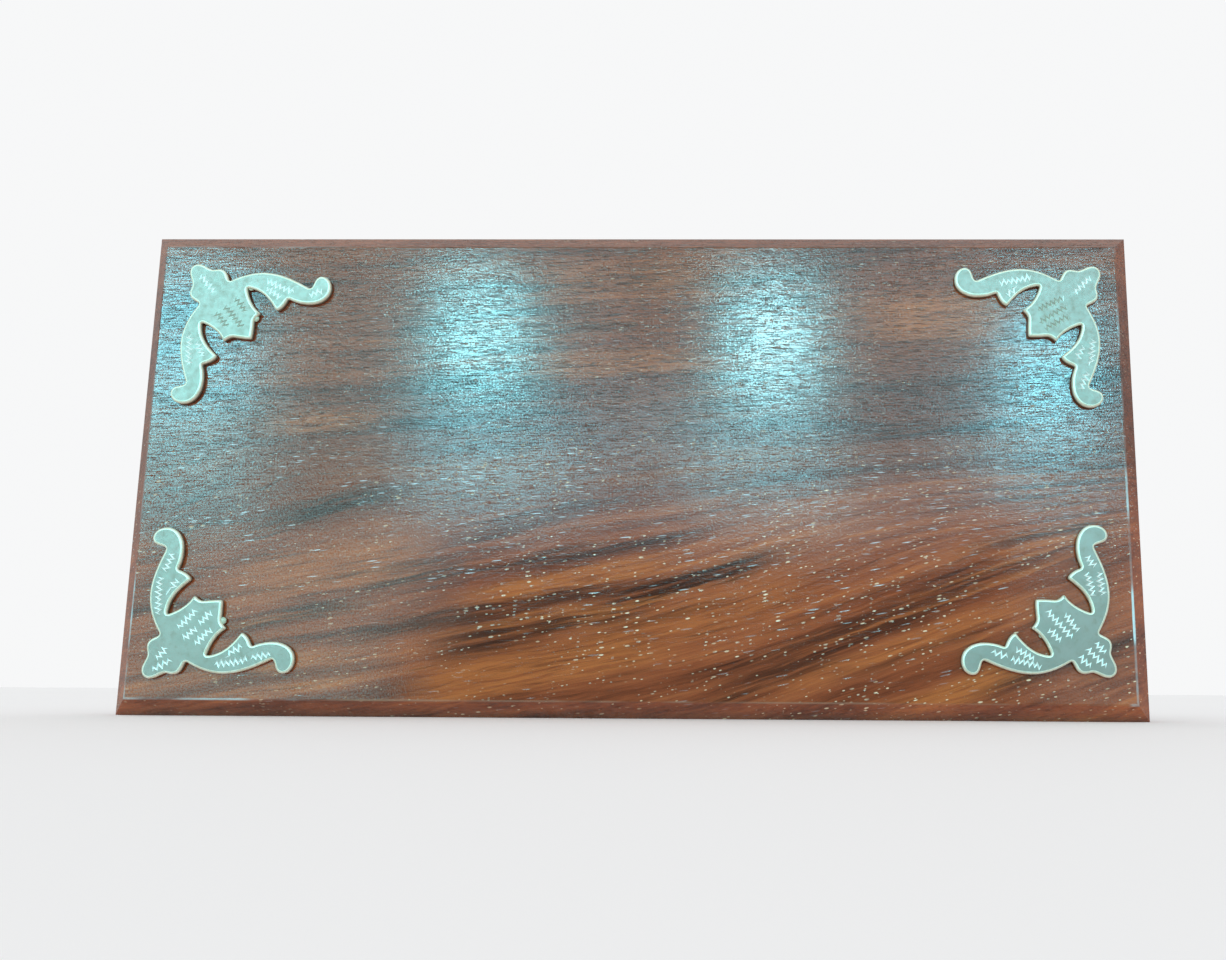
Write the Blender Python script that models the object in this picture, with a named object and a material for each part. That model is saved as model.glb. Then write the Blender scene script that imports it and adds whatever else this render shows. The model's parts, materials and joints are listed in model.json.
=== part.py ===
"""Wall plaque: a chamfered rosewood board with four stamped corner ornaments, hung by two D-rings on its back.

Metres, +Z up. The front faces -Y, and left and right are as seen from the front. The origin lies on the wall, midway
between the two wall hooks, at the height where the hooks bear.
"""

from math import atan2, ceil, cos, pi, radians, sin, tan

import bmesh
import bpy
from mathutils import Matrix, Vector

MM = 0.001

# The board. Its back lies off the wall by the bumpers' height.
BOARD_WIDTH = 300.0
BOARD_HEIGHT = 147.0
BOARD_THICKNESS = 18.0
CHAMFER = 4.8
ARRIS_RADIUS = 0.6
ARRIS_STEPS = 3
BACK_EDGE_EASE = 0.5
WALL_STANDOFF = 4.0
TOP_ABOVE_HOOKS = 25.0

# What touches in the real plaque keeps this much air here.
GAP = 0.3

# The corner ornament: a stamped plate with three spikes on its back, pressed into blind holes.
PLATE_THICKNESS = 1.5
PLATE_RIM_BEVEL = 0.25
SPIKE_RADIUS = 0.8
SPIKE_LENGTH = 4.0
SPIKE_POINT = 1.2
SPIKE_ROOT = 0.5
SPIKE_HOLE_DEPTH = 4.5
OUTLINE_STEP = 0.9

# The ornament's outline on one side of its own diagonal, from the corner lobe to the leaf's tip. Each line is a cubic
# curve: its start, its two handles and its end, as (along one arm, away from that arm's side of the board).
ORNAMENT_SCALE = 1.015
ORNAMENT_HALF = (
    ((0.8, 0.8), (1.4, 0.2), (2.2, 0.0), (3.2, 0.15)),  # corner lobe
    ((3.2, 0.15), (4.6, 0.4), (5.8, 1.5), (7.2, 1.65)),
    ((7.2, 1.65), (8.0, 1.2), (9.2, 1.0), (10.2, 1.35)),  # side lobe
    ((10.2, 1.35), (11.3, 1.8), (11.7, 3.2), (12.5, 4.8)),
    ((12.5, 4.8), (15.0, 3.2), (19.0, 1.1), (23.5, 1.05)),  # back of the arm
    ((23.5, 1.05), (28.5, 1.0), (33.0, 3.0), (37.3, 5.0)),
    ((37.3, 5.0), (38.3, 4.2), (37.8, 1.0), (40.2, 0.8)),  # curled end
    ((40.2, 0.8), (42.1, 0.7), (43.5, 2.5), (43.5, 4.7)),
    ((43.5, 4.7), (43.5, 7.7), (40.8, 9.9), (36.7, 9.9)),
    ((36.7, 9.9), (34.6, 9.9), (32.5, 9.4), (31.1, 8.6)),
    ((31.1, 8.6), (30.5, 10.4), (29.7, 12.1), (28.1, 12.7)),  # barb of the arm
    ((28.1, 12.7), (26.7, 11.1), (24.0, 6.5), (18.2, 6.3)),
    ((18.2, 6.3), (18.9, 8.8), (20.6, 12.4), (23.6, 13.9)),  # side of the leaf
    ((23.6, 13.9), (22.4, 15.0), (21.9, 15.8), (21.9, 16.6)),
    ((21.9, 16.6), (22.1, 18.4), (22.2, 20.4), (22.05, 22.05)),
)
SPIKES = ((7.0, 7.0), (34.0, 6.5), (6.5, 34.0))

# How each ornament was set down: its setbacks from the two edges of the flat face, and its turn in degrees.
ORNAMENT_PLACES = {
    "top_left": (8.8, 5.8, 4.9),
    "top_right": (4.9, 6.6, -0.4),
    "bottom_left": (5.2, 5.5, 1.4),
    "bottom_right": (5.9, 7.5, -0.2),
}

# The hangers.
HANGER_SPACING = 180.0
WIRE_RADIUS = 0.8
RING_INNER_WIDTH = 12.0
RING_REACH = 10.0
RING_CORNER_RADIUS = 1.6
RING_LEAN = 5.0
STRAP_WIDTH = 8.0
STRAP_SHEET = 0.6
STRAP_FOLD_GAP = 0.1
STRAP_LENGTH = 19.0
KNUCKLE_INNER_RADIUS = 1.1
KNUCKLE_FILLET = 1.0
STRAP_HOLE_RADIUS = 1.7
SCREW_DROP = 14.5
SCREW_HEAD_RADIUS = 2.9
SCREW_HEAD_HEIGHT = 1.6
SCREW_LENGTH = 12.0
SCREW_CREST_RADIUS = 1.4
SCREW_ROOT_RADIUS = 1.0
SCREW_PITCH = 1.2
SCREW_THREAD_START = 3.0
SCREW_POINT = 2.0
RECESS_LENGTH = 3.2
RECESS_WIDTH = 0.7
RECESS_DEPTH = 0.9
PILOT_HOLE_DEPTH = 11.0

# The bumpers.
BUMPER_RADIUS = 6.0
BUMPER_EDGE = 0.8
BUMPER_INSET = 14.0

# Where those put things.
BACK_Y = -WALL_STANDOFF
FRONT_Y = BACK_Y - BOARD_THICKNESS
TOP_Z = TOP_ABOVE_HOOKS
BOTTOM_Z = TOP_Z - BOARD_HEIGHT
MIDDLE_Z = (TOP_Z + BOTTOM_Z) / 2
KNUCKLE_OUTER_RADIUS = KNUCKLE_INNER_RADIUS + STRAP_SHEET
AXIS_Y = BACK_Y + GAP + KNUCKLE_OUTER_RADIUS
AXIS_Z = -(RING_REACH - WIRE_RADIUS)
STRAP_TOP_Y = BACK_Y + GAP + 2 * STRAP_SHEET + STRAP_FOLD_GAP
SCREW_Z = AXIS_Z - SCREW_DROP
HANGER_SIDES = {"left": -HANGER_SPACING / 2, "right": HANGER_SPACING / 2}
CORNERS = {"top_left": (-1, 1), "top_right": (1, 1), "bottom_left": (-1, -1), "bottom_right": (1, -1)}

# Lathed pieces are drawn in a plane of (radius, height) and stood on the board's back.
ALONG_Y = Matrix.Rotation(-pi / 2, 4, "X")


def clear_scene():
    for obj in list(bpy.data.objects):
        bpy.data.objects.remove(obj, do_unlink=True)


def material(name, color, roughness, metallic):
    made = bpy.data.materials.new(name)
    made.use_nodes = True
    shader = made.node_tree.nodes["Principled BSDF"]
    shader.inputs["Base Color"].default_value = (*color, 1.0)
    shader.inputs["Roughness"].default_value = roughness
    shader.inputs["Metallic"].default_value = metallic
    made.diffuse_color = (*color, 1.0)
    return made


def add_object(name, bm, mat=None, origin=(0.0, 0.0, 0.0), smooth=False):
    """An object from a mesh drawn in millimetres about its origin."""
    bmesh.ops.recalc_face_normals(bm, faces=bm.faces)
    bmesh.ops.scale(bm, vec=(MM, MM, MM), verts=bm.verts)
    mesh = bpy.data.meshes.new(name)
    bm.to_mesh(mesh)
    bm.free()
    if smooth:
        mesh.shade_smooth()
        mesh.set_sharp_from_angle(angle=radians(35))
    obj = bpy.data.objects.new(name, mesh)
    obj.location = Vector(origin) * MM
    bpy.context.scene.collection.objects.link(obj)
    if mat:
        mesh.materials.append(mat)
    else:
        obj.hide_render = True
        obj.display_type = "WIRE"
    return obj


def boolean(obj, tool, operation):
    modifier = obj.modifiers.new(tool.name, "BOOLEAN")
    modifier.operation = operation
    modifier.solver = "EXACT"
    modifier.object = tool


def skin(bm, rings, closed=False):
    """Joins rings of points, all of one count, into a tube, capped at both ends unless it closes on itself."""
    rows = [[bm.verts.new(point) for point in ring] for ring in rings]
    count = len(rows[0])
    pairs = list(zip(rows, rows[1:]))
    if closed:
        pairs.append((rows[-1], rows[0]))
    for low, high in pairs:
        for i in range(count):
            j = (i + 1) % count
            bm.faces.new((low[i], low[j], high[j], high[i]))
    if not closed:
        bm.faces.new(reversed(rows[0]))
        bm.faces.new(rows[-1])


def lathe(bm, profile, segments, matrix=None):
    """Turns (radius, height) points about the Z axis. A radius of zero at either end makes a point there."""
    rows = []
    for radius, height in profile:
        if radius == 0:
            rows.append([bm.verts.new((0, 0, height))])
            continue
        turns = [2 * pi * i / segments for i in range(segments)]
        rows.append([bm.verts.new((radius * cos(a), radius * sin(a), height)) for a in turns])
    for low, high in zip(rows, rows[1:]):
        for i in range(segments):
            j = (i + 1) % segments
            quad = [low[i % len(low)], low[j % len(low)], high[j % len(high)], high[i % len(high)]]
            bm.faces.new(list(dict.fromkeys(quad)))
    for row in (rows[0], rows[-1]):
        if len(row) > 1:
            bm.faces.new(row)
    if matrix:
        bmesh.ops.transform(bm, matrix=matrix, verts=[vert for row in rows for vert in row])


def cylinder_along_y(bm, x, z, radius, y_low, y_high, segments=24):
    move = Matrix.Translation((x, y_low, z)) @ ALONG_Y
    lathe(bm, [(radius, 0), (radius, y_high - y_low)], segments, move)


def curve_points(start, handle_a, handle_b, end, step):
    """Points along a cubic curve about one step apart, without its last one."""
    a, b, c, d = (Vector(point) for point in (start, handle_a, handle_b, end))
    count = max(3, ceil((d - a).length * 1.15 / step))
    return [
        (1 - t) ** 3 * a + 3 * (1 - t) ** 2 * t * b + 3 * (1 - t) * t**2 * c + t**3 * d
        for t in (i / count for i in range(count))
    ]


def ornament_outline():
    """The whole closed outline: the drawn half, then its reflection in the diagonal."""
    half = [point for curve in ORNAMENT_HALF for point in curve_points(*curve, OUTLINE_STEP)]
    half.append(Vector(ORNAMENT_HALF[-1][3]))
    reflected = [Vector((point.y, point.x)) for point in reversed(half[1:-1])]
    return [point * ORNAMENT_SCALE for point in half + reflected]


def inset(outline, distance):
    """The outline moved inwards by a distance. It runs anticlockwise, so that inwards is to the left."""
    moved = []
    for i, point in enumerate(outline):
        into = (point - outline[i - 1]).normalized()
        away = (outline[(i + 1) % len(outline)] - point).normalized()
        left = Vector((-into.y - away.y, into.x + away.x)).normalized()
        stretch = max(0.5, left.dot(Vector((-into.y, into.x))))
        moved.append(point + left * distance / stretch)
    return moved


def corner_map(corner):
    """How the plane of the ornament's outline lies on the face at a corner, as a function to (x, z)."""
    side, level = CORNERS[corner]
    across, down, turn = ORNAMENT_PLACES[corner]
    face_x = BOARD_WIDTH / 2 - CHAMFER
    face_z = BOARD_HEIGHT / 2 - CHAMFER

    def place(point):
        c, s = cos(radians(turn)), sin(radians(turn))
        u = across + c * point[0] - s * point[1]
        v = down + s * point[0] + c * point[1]
        return side * (face_x - u), MIDDLE_Z + level * (face_z - v)

    return place


def make_board(wood):
    """Rectangles stacked from back to front, each with its inset from the board's outer size."""
    levels = [(BACK_EDGE_EASE, BACK_Y), (0.0, BACK_Y - BACK_EDGE_EASE)]
    levels.append((0.0, FRONT_Y + CHAMFER))
    arc_inset = CHAMFER + ARRIS_RADIUS * tan(radians(22.5))
    for step in range(ARRIS_STEPS + 1):
        angle = radians(45) * (1 - step / ARRIS_STEPS)
        levels.append((arc_inset - ARRIS_RADIUS * sin(angle), FRONT_Y + ARRIS_RADIUS * (1 - cos(angle))))
    bm = bmesh.new()
    rings = []
    for edge, y in levels:
        x = BOARD_WIDTH / 2 - edge
        low = BOTTOM_Z + edge
        high = TOP_Z - edge
        rings.append([(-x, y, low), (x, y, low), (x, y, high), (-x, y, high)])
    skin(bm, rings)
    board = add_object("board", bm, wood)

    bm = bmesh.new()
    for corner in CORNERS:
        place = corner_map(corner)
        for spike in SPIKES:
            x, z = place(spike)
            cylinder_along_y(bm, x, z, SPIKE_RADIUS + GAP, FRONT_Y - 1.0, FRONT_Y + SPIKE_HOLE_DEPTH, 16)
    for x in HANGER_SIDES.values():
        cylinder_along_y(bm, x, SCREW_Z, SCREW_CREST_RADIUS + GAP, BACK_Y - PILOT_HOLE_DEPTH, BACK_Y + 1.0, 20)
    boolean(board, add_object("board_holes", bm), "DIFFERENCE")


def make_ornament(corner, metal):
    """A plate with a bevelled rim, whose back stands one gap off the face, and three spikes."""
    place = corner_map(corner)
    back = FRONT_Y - GAP
    front = back - PLATE_THICKNESS
    outline = ornament_outline()
    rim = inset(outline, PLATE_RIM_BEVEL)
    rings = []
    for ring, y in ((outline, back), (outline, front + PLATE_RIM_BEVEL), (rim, front)):
        placed = [place(point) for point in ring]
        rings.append([(x, y, z) for x, z in placed])
    bm = bmesh.new()
    skin(bm, rings)
    plate = add_object(f"corner_ornament_{corner}", bm, metal)

    bm = bmesh.new()
    profile = [
        (SPIKE_RADIUS, -SPIKE_ROOT),
        (SPIKE_RADIUS, SPIKE_LENGTH - SPIKE_POINT),
        (0, SPIKE_LENGTH),
    ]
    for spike in SPIKES:
        x, z = place(spike)
        lathe(bm, profile, 12, Matrix.Translation((x, back, z)) @ ALONG_Y)
    boolean(plate, add_object(f"spikes_{corner}", bm), "UNION")


def strap_path():
    """The middle of the folded sheet, as points with their left normals, in the (y, z) plane about the ring's axis."""
    radius = KNUCKLE_INNER_RADIUS + STRAP_SHEET / 2
    outer_y = -radius + STRAP_SHEET + STRAP_FOLD_GAP
    fillet_y = outer_y + KNUCKLE_FILLET
    reach = radius + KNUCKLE_FILLET
    fillet_z = -((reach**2 - fillet_y**2) ** 0.5)
    meet = atan2(fillet_z, fillet_y)
    uncut = -STRAP_LENGTH - 1.0
    path = [((-radius, uncut), (-1.0, 0.0))]
    turns = 22
    for i in range(turns + 1):
        angle = pi + (meet - pi) * i / turns
        path.append(((radius * cos(angle), radius * sin(angle)), (cos(angle), sin(angle))))
    turns = 6
    start = meet + pi
    for i in range(1, turns + 1):
        angle = start + (pi - start) * i / turns
        spot = (fillet_y + KNUCKLE_FILLET * cos(angle), fillet_z + KNUCKLE_FILLET * sin(angle))
        path.append((spot, (-cos(angle), -sin(angle))))
    path.append(((outer_y, uncut), (1.0, 0.0)))
    return path


def make_strap(side, x, steel):
    path = strap_path()
    half = STRAP_SHEET / 2
    outside = [(y + ny * half, z + nz * half) for (y, z), (ny, nz) in path]
    inside = [(y - ny * half, z - nz * half) for (y, z), (ny, nz) in path]
    section = outside + inside[::-1]
    bm = bmesh.new()
    skin(bm, [[(x_end, y, z) for y, z in section] for x_end in (-STRAP_WIDTH / 2, STRAP_WIDTH / 2)])
    strap = add_object(f"hanger_strap_{side}", bm, steel, (x, AXIS_Y, AXIS_Z), smooth=True)

    # The strap seen square on: straight sides and a half-round end.
    round_radius = STRAP_WIDTH / 2
    top = KNUCKLE_OUTER_RADIUS + 1.0
    overlap = 0.01
    plan = [(round_radius + overlap, top), (-round_radius - overlap, top)]
    for i in range(13):
        angle = pi + pi * i / 12
        reach = round_radius + (overlap if i in (0, 12) else 0.0)
        plan.append((reach * cos(angle), -STRAP_LENGTH + round_radius + reach * sin(angle)))
    bm = bmesh.new()
    depth = 2 * KNUCKLE_OUTER_RADIUS
    skin(bm, [[(px, y, pz) for px, pz in plan] for y in (-depth, depth)])
    boolean(strap, add_object(f"strap_plan_{side}", bm, None, (x, AXIS_Y, AXIS_Z)), "INTERSECT")

    bm = bmesh.new()
    cylinder_along_y(bm, x, SCREW_Z, STRAP_HOLE_RADIUS, BACK_Y - 1.0, STRAP_TOP_Y + 1.0)
    boolean(strap, add_object(f"strap_hole_{side}", bm), "DIFFERENCE")


def ring_path():
    """The wire's middle in the ring's own plane: along the bar, round a corner, up, over the bow and down."""
    half = RING_INNER_WIDTH / 2 + WIRE_RADIUS
    corner = RING_CORNER_RADIUS
    points = [(0.0, 0.0)]
    for i in range(6):
        angle = -pi / 2 + pi / 2 * i / 5
        points.append((half - corner + corner * cos(angle), corner + corner * sin(angle)))
    shoulder = RING_REACH - half
    turns = 22
    for i in range(turns + 1):
        angle = pi * i / turns
        points.append((half * cos(angle), shoulder + half * sin(angle)))
    for i in range(6):
        angle = pi + pi / 2 * i / 5
        points.append((-half + corner + corner * cos(angle), corner + corner * sin(angle)))
    return points


def make_ring(side, x, steel):
    points = [Vector((px, 0.0, pz)) for px, pz in ring_path()]
    count = len(points)
    rings = []
    for i, point in enumerate(points):
        along = (points[(i + 1) % count] - points[i - 1]).normalized()
        across = along.cross(Vector((0.0, 1.0, 0.0)))
        ring = []
        for j in range(14):
            angle = 2 * pi * j / 14
            ring.append(point + WIRE_RADIUS * (across * cos(angle) + Vector((0.0, 1.0, 0.0)) * sin(angle)))
        rings.append(ring)
    bm = bmesh.new()
    skin(bm, rings, closed=True)
    bmesh.ops.rotate(bm, matrix=Matrix.Rotation(radians(RING_LEAN), 3, "X"), verts=bm.verts)
    add_object(f"hanger_ring_{side}", bm, steel, (x, AXIS_Y, AXIS_Z), smooth=True)


def screw_profile():
    """(radius, height) from the point up, where height 0 is under the head."""
    profile = [(0, -SCREW_LENGTH)]
    height = -SCREW_LENGTH + SCREW_POINT
    profile.append((SCREW_ROOT_RADIUS, height))
    while height < -SCREW_THREAD_START:
        profile.append((SCREW_CREST_RADIUS, height + SCREW_PITCH * 0.45))
        profile.append((SCREW_ROOT_RADIUS, height + SCREW_PITCH * 0.8))
        height += SCREW_PITCH
    neck = SCREW_CREST_RADIUS
    profile += [(neck, height + 0.3), (neck, 0.0)]
    head, rise = SCREW_HEAD_RADIUS, SCREW_HEAD_HEIGHT
    profile += [(head, 0.0), (head, rise * 0.35), (head * 0.88, rise * 0.72), (head * 0.55, rise * 0.95), (0, rise)]
    return profile


def make_screw(side, x, steel):
    seat = STRAP_TOP_Y + GAP
    bm = bmesh.new()
    lathe(bm, screw_profile(), 24, Matrix.Translation((x, seat, SCREW_Z)) @ ALONG_Y)
    screw = add_object(f"hanger_screw_{side}", bm, steel, smooth=True)

    # The cross recess: a four-armed star, wide at the mouth and narrower at its floor.
    bm = bmesh.new()
    rings = []
    for height, share in ((SCREW_HEAD_HEIGHT - RECESS_DEPTH, 0.7), (SCREW_HEAD_HEIGHT + 0.5, 1.25)):
        long, short = RECESS_LENGTH / 2 * share, RECESS_WIDTH / 2 * share
        ring = []
        for quarter in range(4):
            spin = Matrix.Rotation(pi / 2 * quarter + radians(20), 2)
            for corner in ((short, short), (long, short), (long, -short)):
                ring.append(spin @ Vector(corner))
        ring = sorted(ring, key=lambda p: atan2(p.y, p.x))
        rings.append([(p.x, p.y, height) for p in ring])
    skin(bm, rings)
    bmesh.ops.transform(bm, matrix=Matrix.Translation((x, seat, SCREW_Z)) @ ALONG_Y, verts=bm.verts)
    boolean(screw, add_object(f"recess_{side}", bm), "DIFFERENCE")


def make_bumper(corner, rubber):
    side, level = CORNERS[corner]
    x = side * (BOARD_WIDTH / 2 - BUMPER_INSET)
    z = MIDDLE_Z + level * (BOARD_HEIGHT / 2 - BUMPER_INSET)
    height = WALL_STANDOFF - GAP
    profile = [(BUMPER_RADIUS, 0.0)]
    for i in range(5):
        angle = pi / 2 * i / 4
        edge_in = BUMPER_EDGE * (1 - cos(angle))
        profile.append((BUMPER_RADIUS - edge_in, height - BUMPER_EDGE + BUMPER_EDGE * sin(angle)))
    bm = bmesh.new()
    lathe(bm, profile, 36, Matrix.Translation((x, BACK_Y + GAP, z)) @ ALONG_Y)
    add_object(f"bumper_{corner}", bm, rubber, smooth=True)


def main():
    clear_scene()
    wood = material("rosewood", (0.23, 0.07, 0.035), 0.25, 0.0)
    silver = material("silvered_brass", (0.74, 0.77, 0.72), 0.3, 1.0)
    steel = material("zinc_plated_steel", (0.62, 0.63, 0.64), 0.35, 1.0)
    bright = material("nickel_plated_wire", (0.72, 0.71, 0.68), 0.2, 1.0)
    rubber = material("grey_rubber", (0.09, 0.09, 0.09), 0.8, 0.0)
    make_board(wood)
    for corner in CORNERS:
        make_ornament(corner, silver)
        make_bumper(corner, rubber)
    for side, x in HANGER_SIDES.items():
        make_strap(side, x, steel)
        make_ring(side, x, bright)
        make_screw(side, x, steel)


main()
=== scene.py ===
"""The looks of the wall plaque: lacquered rosewood, engraved silvered ornaments and bright hangers.

Everything is in metres in the row frame: +X to the right seen from the front, +Y into the wall, +Z up.
"""

import json
from math import ceil, cos, pi, radians, sin

import bmesh
import bpy
import numpy as np
from mathutils import Matrix, Vector
from mathutils.geometry import delaunay_2d_cdt

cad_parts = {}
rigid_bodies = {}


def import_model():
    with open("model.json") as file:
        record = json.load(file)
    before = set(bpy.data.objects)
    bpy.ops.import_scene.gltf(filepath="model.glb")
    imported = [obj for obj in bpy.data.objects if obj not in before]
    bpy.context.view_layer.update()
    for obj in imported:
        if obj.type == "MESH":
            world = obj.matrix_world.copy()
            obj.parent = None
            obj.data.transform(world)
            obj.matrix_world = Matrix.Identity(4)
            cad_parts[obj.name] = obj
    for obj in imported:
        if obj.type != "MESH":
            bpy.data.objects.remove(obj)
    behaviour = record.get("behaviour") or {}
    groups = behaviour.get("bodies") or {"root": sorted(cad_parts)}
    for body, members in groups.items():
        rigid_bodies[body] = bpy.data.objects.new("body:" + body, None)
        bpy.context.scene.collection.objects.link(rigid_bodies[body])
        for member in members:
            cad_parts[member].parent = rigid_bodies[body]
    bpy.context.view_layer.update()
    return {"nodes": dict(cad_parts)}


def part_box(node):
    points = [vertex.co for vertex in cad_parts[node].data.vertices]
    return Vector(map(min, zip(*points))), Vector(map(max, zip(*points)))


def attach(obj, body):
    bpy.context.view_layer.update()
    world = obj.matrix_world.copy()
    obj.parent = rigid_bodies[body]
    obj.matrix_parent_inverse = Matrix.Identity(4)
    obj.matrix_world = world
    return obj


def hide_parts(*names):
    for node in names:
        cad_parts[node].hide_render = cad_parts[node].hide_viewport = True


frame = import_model()

MM = 0.001
BOARD_LOW, BOARD_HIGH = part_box("board")
CENTER = (BOARD_LOW + BOARD_HIGH) / 2
FACE_Y = BOARD_LOW.y
BACK_Y = BOARD_HIGH.y
# The board in millimetres, with the chamfer of the CAD model.
WIDTH = (BOARD_HIGH.x - BOARD_LOW.x) / MM
HEIGHT = (BOARD_HIGH.z - BOARD_LOW.z) / MM
THICKNESS = (BACK_Y - FACE_Y) / MM
CHAMFER = 4.8

# ---------------------------------------------------------------- shader helpers


class Nodes:
    """Short ways to lay out a node tree. A socket, a number or a tuple may stand for any input."""

    def __init__(self, tree):
        self.tree = tree

    def add(self, kind, **settings):
        node = self.tree.nodes.new(kind)
        for key, value in settings.items():
            setattr(node, key, value)
        return node

    def feed(self, socket, value):
        if isinstance(value, bpy.types.NodeSocket):
            self.tree.links.new(value, socket)
        elif value is not None:
            socket.default_value = value

    def math(self, operation, a, b=None, c=None, clamp=False):
        node = self.add("ShaderNodeMath", operation=operation, use_clamp=clamp)
        for socket, value in zip(node.inputs, (a, b, c)):
            self.feed(socket, value)
        return node.outputs[0]

    def vector(self, operation, a, b):
        node = self.add("ShaderNodeVectorMath", operation=operation)
        self.feed(node.inputs[0], a)
        self.feed(node.inputs[1], b)
        return node.outputs[0]

    def split(self, vector):
        node = self.add("ShaderNodeSeparateXYZ")
        self.feed(node.inputs[0], vector)
        return node.outputs

    def join(self, x, y, z):
        node = self.add("ShaderNodeCombineXYZ")
        for socket, value in zip(node.inputs, (x, y, z)):
            self.feed(socket, value)
        return node.outputs[0]

    def product(self, first, *others):
        for other in others:
            first = self.math("MULTIPLY", first, other)
        return first

    def largest(self, first, *others):
        for other in others:
            first = self.math("MAXIMUM", first, other)
        return first

    def noise(self, vector, scale=1.0, detail=2.0, roughness=0.5):
        node = self.add("ShaderNodeTexNoise", noise_dimensions="3D")
        self.feed(node.inputs["Vector"], vector)
        node.inputs["Scale"].default_value = scale
        node.inputs["Detail"].default_value = detail
        node.inputs["Roughness"].default_value = roughness
        return node.outputs["Fac"]

    def cells(self, vector):
        """Distance to the nearest scattered point, and a random number for that point."""
        node = self.add("ShaderNodeTexVoronoi", voronoi_dimensions="3D", feature="F1")
        self.feed(node.inputs["Vector"], vector)
        node.inputs["Scale"].default_value = 1.0
        return node.outputs["Distance"], self.split(node.outputs["Color"])[0]

    def fade(self, value, low, high, out_low=0.0, out_high=1.0):
        """A smooth step from out_low at low to out_high at high."""
        node = self.add("ShaderNodeMapRange", interpolation_type="SMOOTHSTEP")
        for socket, given in zip(node.inputs, (value, low, high, out_low, out_high)):
            self.feed(socket, given)
        return node.outputs[0]

    def mix(self, factor, a, b):
        node = self.add("ShaderNodeMix", data_type="RGBA")
        self.feed(node.inputs["Factor"], factor)
        self.feed(node.inputs[6], a if isinstance(a, bpy.types.NodeSocket) else (*a, 1.0))
        self.feed(node.inputs[7], b if isinstance(b, bpy.types.NodeSocket) else (*b, 1.0))
        return node.outputs[2]

    def ramp(self, factor, *stops):
        node = self.add("ShaderNodeValToRGB")
        elements = node.color_ramp.elements
        elements[0].position, elements[0].color = stops[0][0], (*stops[0][1], 1.0)
        elements[1].position, elements[1].color = stops[-1][0], (*stops[-1][1], 1.0)
        for position, color in stops[1:-1]:
            elements.new(position).color = (*color, 1.0)
        self.feed(node.inputs[0], factor)
        return node.outputs[0]

    def bump(self, height, strength, distance):
        node = self.add("ShaderNodeBump")
        node.inputs["Strength"].default_value = strength
        node.inputs["Distance"].default_value = distance
        self.feed(node.inputs["Height"], height)
        return node.outputs[0]

    def object_mm(self):
        """The point on the piece in millimetres in the row frame."""
        point = self.add("ShaderNodeTexCoord").outputs["Object"]
        return self.vector("MULTIPLY", point, (1 / MM, 1 / MM, 1 / MM))


def new_material(name, preview):
    """A material with an empty Principled shader: (material, its node helper, the shader)."""
    made = bpy.data.materials.new(name)
    made.use_nodes = True
    made.diffuse_color = (*preview, 1.0)
    nodes = Nodes(made.node_tree)
    shader = next(n for n in made.node_tree.nodes if n.type == "BSDF_PRINCIPLED")
    return made, nodes, shader


# ---------------------------------------------------------------- rosewood

LACQUER_IOR = 1.5
LACQUER_MIRROR = ((LACQUER_IOR - 1) / (LACQUER_IOR + 1)) ** 2
DARK_HEART = (0.042, 0.012, 0.007)
DEEP_BROWN = (0.135, 0.027, 0.012)
RED_BROWN = (0.290, 0.058, 0.022)
WARM_BROWN = (0.400, 0.088, 0.032)
ORANGE = (0.560, 0.135, 0.036)
# Pale pore fill, brightened as a painted glint.
PORE_FILL_AND_GLINT = (0.98, 0.60, 0.38)
# Colour of the painted glints on the dashes and flecks.
DASH_GLINT = (0.74, 0.66, 0.66)
# Colours of the painted highlight along the arris: tan, and whitish blue at the ends and the far left.
ARRIS_HIGHLIGHT_TAN = (0.42, 0.25, 0.17)
ARRIS_HIGHLIGHT_WHITE = (0.62, 0.70, 0.70)
# Nearly black colour of the furrows.
FURROW_DARK = (0.030, 0.034, 0.032)
BACK_SEALER = (0.17, 0.085, 0.05)
# Height of the relief in metres, and scale and share of the finest marks in it.
RELIEF_HEIGHT = 0.00002
GRIT_SCALE = 2.2
GRIT_HEIGHT = 0.64
# Scale of the speckle in the gloss, and how far it goes either way.
SPECKLE_SCALE = 2.0
SPECKLE = 0.26

# Dark streaks of the figure: the grain line they follow, half width, from x, to x, strength. In millimetres.
STREAKS = (
    (1.3, 2.2, -112.0, -64.0, 0.75),
    (-26.0, 2.4, -122.0, -74.0, 0.7),
    (-21.6, 1.9, -84.0, -4.0, 0.75),
    (-24.5, 2.4, -30.0, 20.0, 0.70),
    (-35.0, 2.4, -84.0, 10.0, 0.75),
    (-43.0, 5.4, -58.0, -22.0, 0.85),
    (-43.0, 2.6, -40.0, 10.0, 0.8),
    (-38.6, 3.4, -14.0, 46.0, 0.95),
    (-47.0, 1.6, -14.0, 30.0, 0.5),
    (-52.0, 3.0, -78.0, -62.0, 0.8),
    (-67.2, 2.3, 16.0, 126.0, 0.72),
    (-71.9, 2.2, 24.0, 100.0, 0.75),
    (-75.5, 2.0, 16.0, 66.0, 0.7),
    (-63.8, 1.2, 66.0, 112.0, 0.55),
    (-60.0, 1.2, 40.0, 100.0, 0.5),
    (-81.0, 1.6, 60.0, 108.0, 0.5),
    (-99.0, 2.4, 98.0, 150.0, 0.8),
    (-57.0, 3.0, 96.0, 150.0, 0.7),
    (44.0, 2.0, -80.0, 10.0, 0.4),
    (20.0, 1.8, 50.0, 120.0, 0.3),
    (5.0, 2.2, 60.0, 118.0, 0.45),
)
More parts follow.
